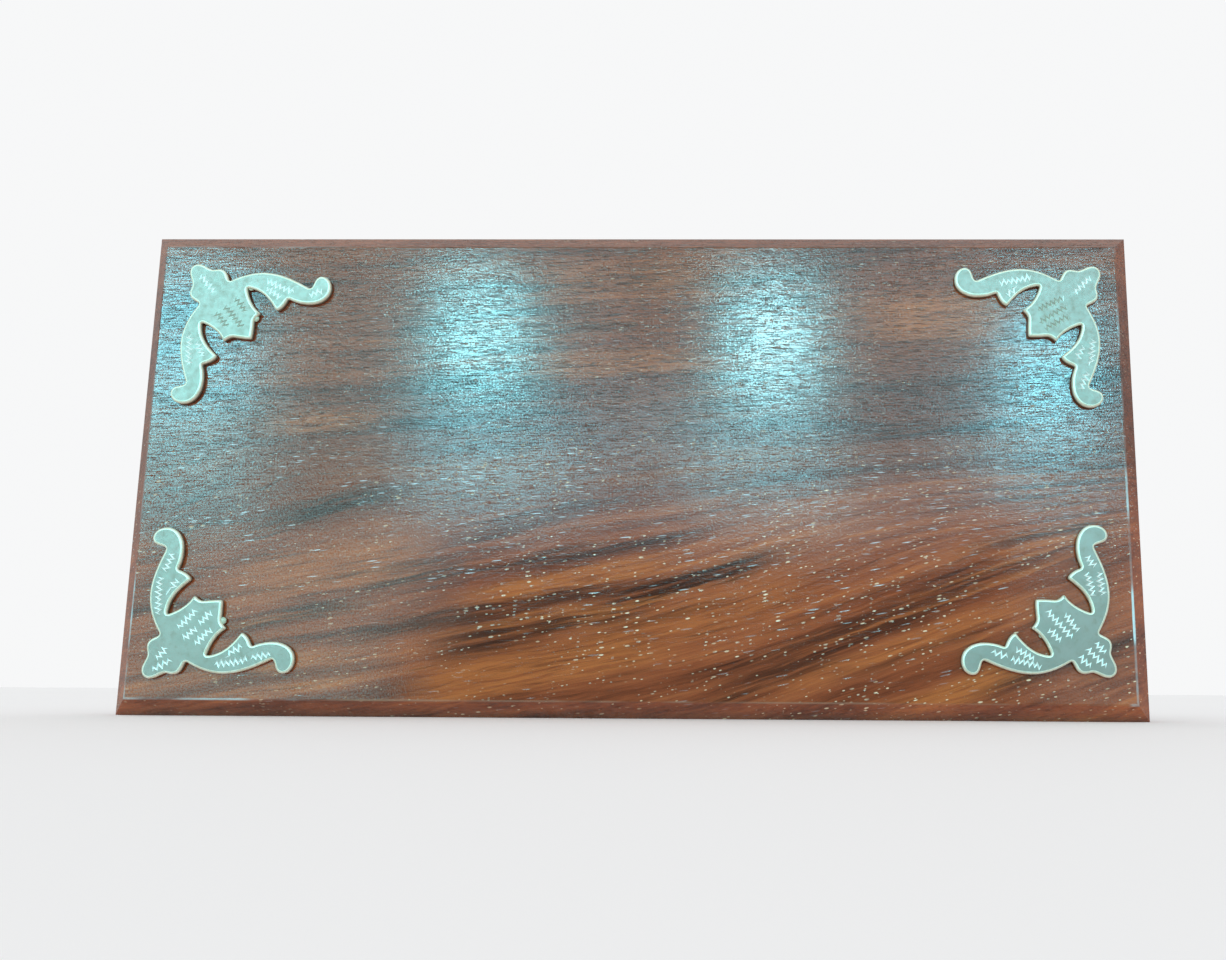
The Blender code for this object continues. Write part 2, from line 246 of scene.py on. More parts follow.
# Orange bands of the figure, in the same way.
GLOWS = (
    (-30.3, 2.8, -50.0, 16.0, 0.75),
    (-54.0, 6.5, -64.0, 14.0, 0.65),
    (-50.0, 6.0, -8.0, 52.0, 0.45),
    (-69.6, 1.0, 50.0, 130.0, 0.55),
    (-65.2, 0.9, 80.0, 136.0, 0.6),
    (-62.0, 1.6, 100.0, 146.0, 0.5),
    (-96.0, 3.5, 72.0, 122.0, 0.8),
    (-78.0, 3.0, 40.0, 116.0, 0.5),
    (20.0, 3.2, -110.0, -74.0, 0.55),
    (32.0, 4.0, -36.0, 26.0, 0.45),
    (40.0, 8.0, 70.0, 112.0, 0.6),
    (-14.0, 7.0, -118.0, -60.0, 0.45),
    (58.0, 8.0, -34.0, 34.0, 0.35),
)
# Dark clouds of the heartwood, in the same way.
CLOUDS = (
    (40.0, 25.0, -72.0, -18.0, 0.50),
    (34.0, 25.0, 14.0, 68.0, 0.48),
    (28.0, 22.0, 108.0, 160.0, 0.42),
    (50.0, 24.0, -170.0, -108.0, 0.45),
    (-16.0, 14.0, 116.0, 170.0, 0.55),
    (-39.0, 8.0, -66.0, -4.0, 0.62),
    (-46.0, 14.0, -176.0, -56.0, 0.35),
)


class Wood:
    """A point on the board, in millimetres from its centre, and the grain line through it."""

    def __init__(self, n):
        self.n = n
        self.place = n.vector("SUBTRACT", n.object_mm(), tuple(CENTER / MM))
        self.x, self.y, self.z = n.split(self.place)
        straight = self.straight_line()
        wander = n.math("MULTIPLY_ADD", self.drawn_out(straight, 70.0, 22.0, 0.4), 9.0, -4.5)
        shiver = n.math("MULTIPLY_ADD", self.drawn_out(straight, 18.0, 5.0, 6.6), 2.4, -1.2)
        self.line = n.math("ADD", straight, shiver)
        self.loose = n.math("ADD", self.line, wander)
        self.medium = self.drawn_out(self.loose, 62.0, 3.2, 7.7, 3.0)
        self.fine = self.drawn_out(self.line, 17.0, 0.85, 1.3, 3.0, 0.6)

    def straight_line(self):
        """The level of the grain line. The lines rise to the right, steepest at the lower right."""
        n = self.n
        low = n.fade(self.z, 10.0, -26.0)
        slope = n.math("MULTIPLY_ADD", low, 0.12, 0.07)
        beyond = n.math("SMOOTH_MAX", n.math("SUBTRACT", self.x, 15.0), 0.0, 40.0)
        rise = n.math("ADD", n.product(self.x, slope), n.product(low, 0.17, beyond))
        return n.math("SUBTRACT", self.z, rise)

    def drawn_out(self, level, length, width, seed, detail=2.0, rough=0.5):
        """Noise drawn out along the grain: length and width of a mark in millimetres."""
        n = self.n
        where = n.join(
            n.math("MULTIPLY_ADD", self.x, 1 / length, seed),
            n.math("MULTIPLY", self.y, 0.6 / width),
            n.math("MULTIPLY", level, 1 / width),
        )
        return n.noise(where, 1.0, detail, rough)

    def bands(self, line, rows):
        """How much of any of these bands lies at a point, from 0 to 1."""
        n = self.n
        found = []
        for level, half, start, stop, strength in rows:
            away = n.math("ABSOLUTE", n.math("SUBTRACT", line, level))
            across = n.fade(away, half * 1.45, half * 0.35, 0.0, strength)
            begun = n.fade(self.x, start - 8.0, start + 18.0)
            not_over = n.fade(self.x, stop + 8.0, stop - 18.0)
            found.append(n.product(across, begun, not_over))
        return n.largest(*found)

    def pores(self, length, width, seed, spacing):
        """Dashes about this long and wide, on average one to every spacing squared of such dashes."""
        n = self.n
        level = n.math("MULTIPLY", n.math("ADD", self.line, self.z), 0.5)
        where = n.join(
            n.math("MULTIPLY_ADD", self.x, 1 / (length * spacing), seed),
            n.math("MULTIPLY", self.y, 1 / (width * spacing * 2)),
            n.math("MULTIPLY", level, 1 / (width * spacing)),
        )
        away, pick = n.cells(where)
        reach = n.fade(pick, 0.15, 0.85, 0.0, 0.62 / spacing)
        return n.fade(n.math("DIVIDE", away, n.math("ADD", reach, 0.001)), 1.0, 0.45)


def ground_color(n, wood):
    """Brown in bands along the grain. The upper half is darker heartwood, with darker clouds in it."""
    broad = wood.drawn_out(wood.loose, 110.0, 13.0, 3.1)
    hair = wood.drawn_out(wood.line, 7.0, 0.34, 5.9)
    tone = n.math("MULTIPLY_ADD", hair, 0.16, -0.15)
    tone = n.math("MULTIPLY_ADD", wood.fine, 0.30, tone)
    tone = n.math("MULTIPLY_ADD", wood.medium, 0.46, tone)
    tone = n.math("MULTIPLY_ADD", broad, 0.50, tone)
    color = n.ramp(tone, (0.38, DEEP_BROWN), (0.52, RED_BROWN), (0.64, WARM_BROWN), (0.78, ORANGE))

    midway = n.math("MULTIPLY", n.math("ADD", wood.loose, wood.z), 0.5)
    heart = n.product(n.fade(midway, -20.0, -2.0, 0.0, 0.56), n.fade(wood.loose, 16.0, 46.0, 1.0, 0.60))
    color = n.mix(heart, color, DEEP_BROWN)
    cloud = n.product(wood.bands(wood.loose, CLOUDS), n.fade(wood.medium, 0.36, 0.62, 0.9, 0.25))
    return n.mix(cloud, color, DARK_HEART)


def add_figure(n, wood, color):
    """The placed orange bands and dark streaks, both frayed along the grain, and thin dark threads."""
    fray = n.math("MULTIPLY_ADD", wood.fine, 2.6, -3.3)
    fray = n.math("MULTIPLY_ADD", wood.medium, 4.0, fray)
    frayed = n.math("ADD", wood.line, fray)
    glow = n.product(wood.bands(frayed, GLOWS), n.fade(wood.fine, 0.30, 0.62, 0.3, 1.0))
    color = n.mix(glow, color, ORANGE)
    strands = wood.drawn_out(wood.line, 22.0, 0.95, 8.8, 3.0, 0.6)
    streak = n.product(wood.bands(frayed, STREAKS), n.fade(strands, 0.42, 0.66, 1.0, 0.30))
    color = n.mix(streak, color, DARK_HEART)
    threads = n.fade(wood.drawn_out(wood.loose, 20.0, 0.8, 9.4, 3.0), 0.56, 0.74, 0.0, 0.40)
    return n.mix(threads, color, DARK_HEART)


def add_pores(n, wood, color):
    """Open pores with pale filler, brightened in places as a painted glint, and pale dashes and flecks that
    are painted glints: (color, how much of a pore is here, how much of a long dash).
    """
    x, z = wood.x, wood.z
    clusters = wood.drawn_out(wood.line, 30.0, 14.0, 2.2)
    large = n.product(wood.pores(1.5, 0.50, 2.0, 2.4), n.fade(clusters, 0.40, 0.58))
    small = n.product(wood.pores(0.9, 0.38, 11.0, 2.3), n.fade(clusters, 0.30, 0.50))
    pore = n.largest(large, n.product(small, 0.8))
    some = n.fade(n.noise(wood.place, 0.25, 1.0), 0.35, 0.60, 0.2, 1.0)
    fill_and_glint = n.product(some, n.fade(z, -14.0, 18.0, 1.0, 0.35), n.fade(x, -90.0, 0.0, 0.5, 1.0))
    # Pale fill in the pores, brightened as a painted glint, most in the lower part and towards the right.
    color = n.mix(n.product(pore, fill_and_glint), color, PORE_FILL_AND_GLINT)

    dash_rows = n.fade(wood.drawn_out(wood.line, 40.0, 9.0, 7.1), 0.42, 0.56)
    dashes = n.product(wood.pores(3.4, 0.36, 21.0, 2.7), dash_rows)
    pale = n.product(n.fade(z, -52.0, -30.0, 0.2, 1.0), n.fade(z, 8.0, 24.0, 0.65, 0.1))
    fleck_rows = n.fade(wood.drawn_out(wood.line, 26.0, 5.0, 3.3), 0.46, 0.60)
    middle = n.product(n.fade(z, -34.0, -18.0), n.fade(z, 2.0, 22.0, 1.0, 0.35))
    flecks = n.product(wood.pores(2.6, 0.30, 31.0, 1.9), fleck_rows, middle)
    # Painted highlight: dashes and flecks painted pale as glints, in a band across the middle of the face;
    # the dashes are also dimples in the relief.
    color = n.mix(n.largest(n.product(dashes, pale), n.product(flecks, 0.55)), color, DASH_GLINT)
    return color, pore, dashes


def add_arris_highlight(n, wood, color):
    """Painted highlight: thin pale lines in places along the edge of the flat face, for light caught on the
    arris.
    """
    x, y, z = wood.x, wood.y, wood.z
    sideways = n.math("ABSOLUTE", x)
    across = n.math("SUBTRACT", sideways, WIDTH / 2 - CHAMFER)
    upward = n.math("SUBTRACT", n.math("ABSOLUTE", z), HEIGHT / 2 - CHAMFER)
    from_arris = n.math("ABSOLUTE", n.largest(across, upward))
    on_face = n.fade(y, -THICKNESS / 2 + 0.6, -THICKNESS / 2 + 0.3)
    thin_line = n.fade(from_arris, n.fade(x, 138.0, 144.0, 0.42, 0.62), 0.12)
    patchy = n.fade(n.noise(wood.place, 0.05, 2.0), 0.38, 0.62, 0.1, 0.9)
    ends = n.fade(sideways, WIDTH / 2 - 8.0, WIDTH / 2 - 6.0)
    low_side = n.product(n.fade(z, 20.0, -50.0, 0.25, 0.8), n.fade(x, -110.0, -30.0, 1.0, 0.45))
    right_side = n.product(ends, n.fade(x, -1.0, 1.0, 0.4, 1.0), n.fade(z, 10.0, -56.0, 0.6, 2.6))
    highlight_places = n.product(patchy, n.largest(low_side, right_side))
    arris_glint = n.math("MULTIPLY", n.product(thin_line, on_face), highlight_places, clamp=True)
    whitish = n.largest(ends, n.fade(x, -78.0, -108.0))
    # Painted highlight: the arris lines turn tan, and whitish blue at the ends and the far left.
    return n.mix(arris_glint, color, n.mix(whitish, ARRIS_HIGHLIGHT_TAN, ARRIS_HIGHLIGHT_WHITE))


def furrows(n, wood):
    """Fine level furrows in the lacquer: (how dull each point is, how deep it lies)."""
    level = n.math("MULTIPLY_ADD", wood.line, 0.12, n.math("MULTIPLY", wood.z, 0.88))
    long = n.fade(wood.drawn_out(level, 9.0, 0.36, 4.0, 1.0), 0.41, 0.33)
    short = n.fade(wood.drawn_out(level, 4.0, 0.30, 8.0, 1.0), 0.42, 0.33)
    scratches = n.fade(wood.drawn_out(level, 3.0, 0.25, 12.0, 1.0), 0.45, 0.35)
    upper = n.fade(wood.z, -32.0, 0.0, 0.45, 1.0)
    dull = n.product(n.largest(long, n.product(short, 0.8), scratches), upper)
    depth = n.math("MULTIPLY_ADD", long, -0.40, n.product(short, -0.25))
    depth = n.product(n.math("MULTIPLY_ADD", scratches, -0.15, depth), upper)
    return dull, depth


def lacquer_relief(n, wood, depth, pits):
    """The lacquer sinks into the grain: orange peel, grit, furrows, dimples over the pores, a slow swell."""
    stretched = n.join(n.product(wood.x, 1.2), n.product(wood.y, 1.6), n.product(wood.z, 2.0))
    peel = n.noise(stretched, 1.0, 2.0, 0.6)
    grit = n.noise(wood.place, GRIT_SCALE, 1.0, 0.5)
    swell = wood.drawn_out(wood.z, 26.0, 3.5, 4.4)
    relief = n.math("MULTIPLY_ADD", peel, 0.62, depth)
    relief = n.math("MULTIPLY_ADD", swell, 0.5, relief)
    relief = n.math("MULTIPLY_ADD", grit, GRIT_HEIGHT, relief)
    relief = n.math("SUBTRACT", relief, pits)
    return n.bump(relief, 1.0, RELIEF_HEIGHT)


def rosewood():
    made, n, shader = new_material("rosewood_lacquer", RED_BROWN)
    wood = Wood(n)
    color = add_figure(n, wood, ground_color(n, wood))
    color, pore, dashes = add_pores(n, wood, color)
    # Painted highlight along the arris of the flat face.
    color = add_arris_highlight(n, wood, color)
    dull, depth = furrows(n, wood)
    # The furrows are coloured nearly black, more so towards the top.
    furrow_darkening = n.product(dull, n.fade(wood.z, -10.0, 20.0, 0.15, 0.55))
    color = n.mix(furrow_darkening, color, FURROW_DARK)
    # The back is sealed thinly and looks duller than the front and the edges.
    back = n.fade(wood.y, THICKNESS / 2 - 0.6, THICKNESS / 2 - 0.2)
    color = n.mix(n.product(back, 0.35), color, BACK_SEALER)
    n.feed(shader.inputs["Base Color"], color)
    n.feed(shader.inputs["Normal"], lacquer_relief(n, wood, depth, n.largest(pore, dashes)))

    smear = n.noise(wood.place, 0.035, 3.0)
    rough = n.math("MULTIPLY_ADD", pore, 0.12, n.fade(smear, 0.3, 0.7, 0.085, 0.115))
    # Only the front and its chamfer are rubbed to a gloss: the edges and the back are satin.
    satin = n.fade(wood.y, -THICKNESS / 2 + CHAMFER + 0.2, -THICKNESS / 2 + CHAMFER + 1.2)
    rough = n.math("MULTIPLY_ADD", satin, 0.30, rough)
    n.feed(shader.inputs["Roughness"], rough)
    speckle = n.fade(n.noise(wood.place, SPECKLE_SCALE, 1.0), 0.34, 0.66, -SPECKLE, SPECKLE)
    gloss = n.math("ADD", n.math("MULTIPLY_ADD", dull, -0.30, 0.57), speckle)
    n.feed(shader.inputs["Specular IOR Level"], n.product(gloss, n.fade(satin, 0.0, 1.0, 1.0, 0.45)))
    shader.inputs["IOR"].default_value = LACQUER_IOR
    return made


# ---------------------------------------------------------------- ornaments

# The outline on one side of the ornament's diagonal, as on the CAD plate: start, two handles, end.
ORNAMENT_SCALE = 1.015
ORNAMENT_HALF = (
    ((0.8, 0.8), (1.4, 0.2), (2.2, 0.0), (3.2, 0.15)),
    ((3.2, 0.15), (4.6, 0.4), (5.8, 1.5), (7.2, 1.65)),
    ((7.2, 1.65), (8.0, 1.2), (9.2, 1.0), (10.2, 1.35)),
    ((10.2, 1.35), (11.3, 1.8), (11.7, 3.2), (12.5, 4.8)),
    ((12.5, 4.8), (15.0, 3.2), (19.0, 1.1), (23.5, 1.05)),
    ((23.5, 1.05), (28.5, 1.0), (33.0, 3.0), (37.3, 5.0)),
    ((37.3, 5.0), (38.3, 4.2), (37.8, 1.0), (40.2, 0.8)),
    ((40.2, 0.8), (42.1, 0.7), (43.5, 2.5), (43.5, 4.7)),
    ((43.5, 4.7), (43.5, 7.7), (40.8, 9.9), (36.7, 9.9)),
    ((36.7, 9.9), (34.6, 9.9), (32.5, 9.4), (31.1, 8.6)),
    ((31.1, 8.6), (30.5, 10.4), (29.7, 12.1), (28.1, 12.7)),
    ((28.1, 12.7), (26.7, 11.1), (24.0, 6.5), (18.2, 6.3)),
    ((18.2, 6.3), (18.9, 8.8), (20.6, 12.4), (23.6, 13.9)),
    ((23.6, 13.9), (22.4, 15.0), (21.9, 15.8), (21.9, 16.6)),
    ((21.9, 16.6), (22.1, 18.4), (22.2, 20.4), (22.05, 22.05)),
)
# Each ornament's setbacks from the edges of the flat face and its turn in degrees, as on the CAD plates.
ORNAMENT_PLACES = {
    "top_left": (8.8, 5.8, 4.9),
    "top_right": (4.9, 6.6, -0.4),
    "bottom_left": (5.2, 5.5, 1.4),
    "bottom_right": (5.9, 7.5, -0.2),
}
# Each corner's side and level: 1 is right and up.
CORNERS = {"top_left": (-1, 1), "top_right": (1, 1), "bottom_left": (-1, -1), "bottom_right": (1, -1)}
PLATE_GAP = 0.3
PLATE_THICKNESS = 1.5
RIM_RADIUS = 0.75
RIM_STEPS = 6
OUTLINE_STEP = 0.25

# Rows of wriggle cuts on each ornament, engraved by hand and no two alike: start, end, how far the row bows,
# strokes.
CUT_ROWS = {
    "top_left": (
        ((24.3, 3.6), (33.3, 6.6), 0.2, 13),
        ((24.7, 5.9), (29.5, 8.7), 0.0, 8),
        ((12.9, 12.9), (19.5, 19.3), 0.0, 13),
        ((15.5, 10.1), (19.7, 14.1), 0.0, 8),
        ((10.5, 15.1), (14.9, 19.5), 0.0, 9),
        ((3.8, 3.6), (9.2, 9.0), 0.0, 10),
        ((3.8, 22.7), (4.8, 32.3), 0.0, 13),
        ((6.3, 24.7), (9.1, 29.3), 0.0, 8),
        ((37.9, 7.3), (41.9, 5.3), 0.0, 6),
    ),
    "top_right": (
        ((21.1, 3.7), (30.9, 5.7), 0.2, 14),
        ((24.9, 7.1), (28.9, 9.5), 0.0, 6),
        ((11.5, 10.1), (19.5, 14.3), 0.0, 13),
        ((10.9, 12.9), (19.3, 18.3), 0.0, 14),
        ((10.3, 15.9), (17.7, 20.3), 0.0, 12),
        ((3.4, 3.6), (8.8, 9.0), 0.0, 10),
        ((3.5, 23.1), (4.3, 31.9), 0.0, 12),
        ((6.3, 25.3), (8.5, 29.5), 0.0, 6),
        ((5.3, 33.3), (7.7, 38.7), 0.0, 8),
    ),
    "bottom_left": (
        ((11.9, 11.2), (15.5, 14.6), 0.0, 7),
        ((16.3, 15.4), (19.6, 19.2), 0.0, 7),
        ((15.3, 9.6), (19.9, 14.2), 0.0, 9),
        ((10.1, 14.4), (15.3, 19.6), 0.0, 10),
        ((3.3, 2.6), (8.9, 5.4), 0.0, 8),
        ((4.5, 5.6), (7.3, 9.0), 0.0, 6),
        ((21.3, 4.0), (30.9, 5.2), -0.3, 14),
        ((23.9, 6.2), (29.1, 9.0), 0.0, 8),
        ((31.7, 5.6), (37.5, 6.6), 0.0, 8),
        ((4.2, 18.4), (4.0, 29.6), 0.2, 15),
        ((6.3, 22.8), (8.9, 28.8), 0.0, 9),
        ((5.2, 31.0), (7.5, 36.4), 0.0, 8),
    ),
    "bottom_right": (
        ((12.5, 11.4), (19.5, 19.2), 0.0, 14),
        ((15.8, 10.4), (19.1, 14.0), 0.0, 7),
        ((10.9, 13.2), (14.3, 18.4), 0.0, 9),
        ((3.1, 3.2), (8.7, 8.4), 0.0, 10),
        ((7.5, 3.2), (10.9, 6.2), 0.0, 6),
        ((3.4, 7.0), (6.1, 10.2), 0.0, 6),
        ((20.9, 2.9), (30.3, 5.3), 0.3, 14),
        ((23.5, 5.2), (28.7, 8.4), 0.0, 9),
        ((30.9, 6.0), (35.7, 7.6), 0.0, 6),
        ((3.3, 23.6), (4.1, 31.2), 0.0, 11),
        ((5.7, 22.6), (7.5, 30.2), 0.0, 11),
        ((5.1, 31.8), (7.5, 35.0), 0.0, 6),
    ),
}
CUT_WIDTH = 0.54
CUT_DEPTH = 0.10
CUT_AMPLITUDE = 0.64
# No cut comes closer than this to the rim.
CUT_MARGIN = 0.3
# The leaf of a plate reaches further than this along both legs. On the upper plates its cuts are dark with
# polish.
LEAF_START = 9.5
# Beads of glue squeezed out beside the plates: where, and their radius.
GLUE_BEADS = {
    "top_left": ((19.4, 6.0, 1.0), (22.3, 15.6, 1.1)),
    "top_right": ((6.2, 17.6, 0.8),),
    "bottom_left": ((22.5, 16.4, 1.1), (14.6, 22.3, 0.7)),
    "bottom_right": ((17.6, 6.8, 1.0), (20.9, 12.2, 0.8), (6.3, 17.4, 0.9)),
}
BEAD_LIFT = 0.05
BEAD_FLATNESS = 0.55
# The materials of an ornament, in the order of its slots.
PLATE_SLOT, CUT_SLOT, RIM_SLOT, EDGE_SLOT, DARK_CUT_SLOT, GLUE_SLOT = range(6)


def cubic(start, handle_a, handle_b, end, step):
    a, b, c, d = (np.array(point) for point in (start, handle_a, handle_b, end))
    count = max(3, ceil(np.linalg.norm(d - a) * 1.15 / step))
    t = (np.arange(count) / count)[:, None]
    return (1 - t) ** 3 * a + 3 * (1 - t) ** 2 * t * b + 3 * (1 - t) * t**2 * c + t**3 * d


def resample(loop, step):
    closed = np.vstack([loop, loop[:1]])
    run = np.r_[0, np.cumsum(np.linalg.norm(np.diff(closed, axis=0), axis=1))]
    spots = np.linspace(0, run[-1], max(8, round(run[-1] / step)), endpoint=False)
    return np.c_[np.interp(spots, run, closed[:, 0]), np.interp(spots, run, closed[:, 1])]


def soften(loop, passes):
    """Rounds the corners of a closed loop."""
    for _ in range(passes):
        loop = 0.5 * loop + 0.25 * (np.roll(loop, 1, 0) + np.roll(loop, -1, 0))
    return loop


def moved_in(loop, distance):
    """The loop moved inwards. It runs anticlockwise."""
    along = np.roll(loop, -1, 0) - np.roll(loop, 1, 0)
    along /= np.linalg.norm(along, axis=1)[:, None]
    return loop + distance * np.c_[-along[:, 1], along[:, 0]]


def ornament_outline():
    half = np.vstack([cubic(*curve, OUTLINE_STEP) for curve in ORNAMENT_HALF] + [[ORNAMENT_HALF[-1][3]]])
    whole = np.vstack([half, half[-2:0:-1, ::-1]]) * ORNAMENT_SCALE
    return soften(resample(whole, OUTLINE_STEP), 5)


def wriggle(start, end, bow, strokes):
    """A zig-zag line along a row, its strokes a little uneven as a rocked graver leaves them."""
    start, end = np.array(start), np.array(end)
    along = (end - start) / strokes
    side = np.array([-along[1], along[0]]) / np.linalg.norm(along)
    points = []
    for i in range(strokes + 1):
        share = i / strokes
        uneven = 1 + 0.24 * sin(5.1 * i + 3.0 * start[0] + start[1])
        lean = 0.16 * sin(3.7 * i + start[1])
        swing = CUT_AMPLITUDE * uneven * (1 if i % 2 else -1)
        points.append(start + along * (i + lean) + side * (swing + bow * 4 * share * (1 - share)))
    return np.array(points)


def inside(loop, points):
    """Which of the points lie inside the loop."""
    found = np.zeros(len(points), bool)
    a, b = loop, np.roll(loop, -1, 0)
    for (ax, ay), (bx, by) in zip(a, b):
        crosses = (ay > points[:, 1]) != (by > points[:, 1])
        if crosses.any():
            at = ax + (points[:, 1] - ay) * (bx - ax) / (by - ay if by != ay else 1e-12)
            found ^= crosses & (points[:, 0] < at)
    return found


def groove_sides(line):
    """The two edges of a cut along a zig-zag line, drawn to a point at both ends."""
    left, right = [], []
    for i in range(1, len(line) - 1):
        into = line[i] - line[i - 1]
        away = line[i + 1] - line[i]
        into /= np.linalg.norm(into)
        away /= np.linalg.norm(away)
        normal = np.array([-into[1] - away[1], into[0] + away[0]])
        normal /= np.linalg.norm(normal)
        reach = CUT_WIDTH / 2 / max(0.42, normal @ np.array([-into[1], into[0]]))
        left.append(line[i] + normal * reach)
        right.append(line[i] - normal * reach)
    return left, right


def plate_top(rim, cut_rows):
    """The engraved top: (points, depths, triangles, which triangles are cut, the point at each rim point)."""
    points = [tuple(p) for p in rim]
    edges = [(i, (i + 1) % len(rim)) for i in range(len(rim))]
    valley = set()
    for row in cut_rows:
        line = wriggle(*row)
        kept = line[inside(moved_in(rim, CUT_MARGIN), line)]
        if len(kept) < 4:
            continue
        left, right = groove_sides(kept)
        first = len(points)
        points.append(tuple(kept[0]))
        for l, m, r in zip(left, kept[1:-1], right):
            points += [tuple(l), tuple(m), tuple(r)]
        points.append(tuple(kept[-1]))
        last = len(points) - 1
        for k in range(len(left)):
            base = first + 1 + 3 * k
            valley.add(base + 1)
            before = [first] * 3 if k == 0 else [base - 3, base - 2, base - 1]
            edges += [(before[0], base), (before[1], base + 1), (before[2], base + 2)]
        base = last - 3
        edges += [(base, last), (base + 1, last), (base + 2, last)]
    found = delaunay_2d_cdt([Vector(p) for p in points], edges, [], 0, 1e-6, True)
    spots, triangles, from_points = found[0], found[2], found[3]
    flat = np.array([tuple(spot) for spot in spots])
    kept = inside(rim, flat[np.array(triangles)].mean(axis=1))
    triangles = [triangle for triangle, keep in zip(triangles, kept) if keep]
    depth = [CUT_DEPTH if valley & set(source) else 0.0 for source in from_points]
    cut = [any(depth[i] for i in triangle) for triangle in triangles]
    rim_of = {}
    for i, source in enumerate(from_points):
        for s in source:
            if s < len(rim):
                rim_of[s] = i
    return spots, depth, triangles, cut, rim_of


def corner_map(corner):
    """From an ornament's own plane to its place on the board."""
    side, level = CORNERS[corner]
    across, down, turn = ORNAMENT_PLACES[corner]
    c, s = cos(radians(turn)), sin(radians(turn))

    def place(point, height):
        """From the ornament's plane and a height off the board's face, in millimetres, to the row frame."""
        u = across + c * point[0] - s * point[1]
        v = down + s * point[0] + c * point[1]
        return Vector(
            (
                CENTER.x + side * (WIDTH / 2 - CHAMFER - u) * MM,
                FACE_Y - height * MM,
                CENTER.z + level * (HEIGHT / 2 - CHAMFER - v) * MM,
            )
        )

    return place


def plate_levels():
    """The plate's outline at each level up to the end of its rounded rim: (loop, height)."""
    loop = ornament_outline()
    shoulder = PLATE_GAP + PLATE_THICKNESS - RIM_RADIUS
    levels = [(loop, PLATE_GAP), (loop, shoulder)]
    gone = 0.0
    for step in range(1, RIM_STEPS + 1):
        angle = pi / 2 * step / RIM_STEPS
        inset = RIM_RADIUS * (1 - cos(angle))
        loop = soften(moved_in(loop, inset - gone), 1)
        gone = inset
        levels.append((loop, shoulder + RIM_RADIUS * sin(angle)))
    return levels


def add_sides(bm, place, levels):
    """The foot, the edge and the rim. Returns the top row of vertices."""
    rows = [[bm.verts.new(place(point, height)) for point in loop] for loop, height in levels]
    count = len(rows[0])
    for k, (low, high) in enumerate(zip(rows, rows[1:])):
        for i in range(count):
            j = (i + 1) % count
            face = bm.faces.new((low[i], low[j], high[j], high[i]))
            face.material_index = EDGE_SLOT if k == 0 else RIM_SLOT
            face.smooth = True
    bm.faces.new(rows[0][::-1]).material_index = EDGE_SLOT
    return rows[-1]


def add_engraved_top(bm, corner, place, rim, top_row):
    spots, depth, triangles, cut, rim_of = plate_top(rim, CUT_ROWS[corner])
    made = {spot: top_row[source] for source, spot in rim_of.items()}
    top = PLATE_GAP + PLATE_THICKNESS
    for i, spot in enumerate(spots):
        if i not in made:
            made[i] = bm.verts.new(place(spot, top - depth[i]))
    for triangle, engraved in zip(triangles, cut):
        corners = [made[i] for i in triangle]
        if len(set(corners)) == 3:
            face = bm.faces.new(corners)
            on_leaf = all(min(spots[i]) > LEAF_START for i in triangle)
            cut_slot = DARK_CUT_SLOT if on_leaf and corner.startswith("top") else CUT_SLOT
            face.material_index = cut_slot if engraved else PLATE_SLOT


def add_glue_beads(bm, corner, place):
    for u, v, radius in GLUE_BEADS[corner]:
        bead = bmesh.ops.create_icosphere(bm, subdivisions=3, radius=1.0)["verts"]
        for vert in bead:
            a, b, c = vert.co
            height = BEAD_LIFT + BEAD_FLATNESS * radius * (1 + c)
            vert.co = place((u + radius * a, v + radius * b), height)
            for face in vert.link_faces:
                face.material_index = GLUE_SLOT
                face.smooth = True


def make_ornament(corner, materials):
    place = corner_map(corner)
    levels = plate_levels()
    bm = bmesh.new()
    top_row = add_sides(bm, place, levels)
    add_engraved_top(bm, corner, place, levels[-1][0], top_row)
    add_glue_beads(bm, corner, place)
    bmesh.ops.recalc_face_normals(bm, faces=bm.faces)
    mesh = bpy.data.meshes.new(f"ornament_{corner}")
    bm.to_mesh(mesh)
    bm.free()
    for material in materials:
        mesh.materials.append(material)
    obj = bpy.data.objects.new(f"ornament_{corner}", mesh)
    bpy.context.scene.collection.objects.link(obj)
    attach(obj, "plaque")
    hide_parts(f"corner_ornament_{corner}")


def silver_plate():
    """Thin silver on brass, clouded, tarnished in spots, brushed and a little dented."""
    made, n, shader = new_material("silver_plate", (0.7, 0.75, 0.7))
    place = n.object_mm()
    cloud = n.noise(place, 0.12, 3.0, 0.6)
    tarnish = n.noise(place, 0.5, 4.0, 0.65)
    color = n.mix(n.fade(cloud, 0.35, 0.7), (0.46, 0.34, 0.285), (0.41, 0.31, 0.255))
    color = n.mix(n.fade(tarnish, 0.52, 0.76, 0.0, 0.5), color, (0.33, 0.25, 0.18))
    n.feed(shader.inputs["Base Color"], color)
    shader.inputs["Metallic"].default_value = 0.8
    n.feed(shader.inputs["Roughness"], n.fade(tarnish, 0.3, 0.75, 0.42, 0.52))
    x, y, z = n.split(place)
    brushed = n.noise(n.join(n.math("MULTIPLY", x, 0.5), y, n.math("MULTIPLY", z, 3.0)), 1.0, 3.0, 0.6)
    dents = n.noise(place, 0.35, 2.0, 0.5)
    relief = n.math("MULTIPLY_ADD", dents, 2.0, n.math("MULTIPLY", brushed, 0.25))
    n.feed(shader.inputs["Normal"], n.bump(relief, 0.35, 0.00006))
    return made


def bright_cut():
    """Freshly cut metal at the bottom of the engraving."""
    made, n, shader = new_material("bright_cut", (0.9, 0.95, 0.9))
    tone = n.noise(n.object_mm(), 1.2, 2.0, 0.5)
    n.feed(shader.inputs["Base Color"], n.mix(tone, (1.00, 0.90, 0.82), (0.90, 0.82, 0.75)))
    shader.inputs["Metallic"].default_value = 0.9
    n.feed(shader.inputs["Roughness"], n.fade(tone, 0.3, 0.7, 0.5, 0.6))
    return made


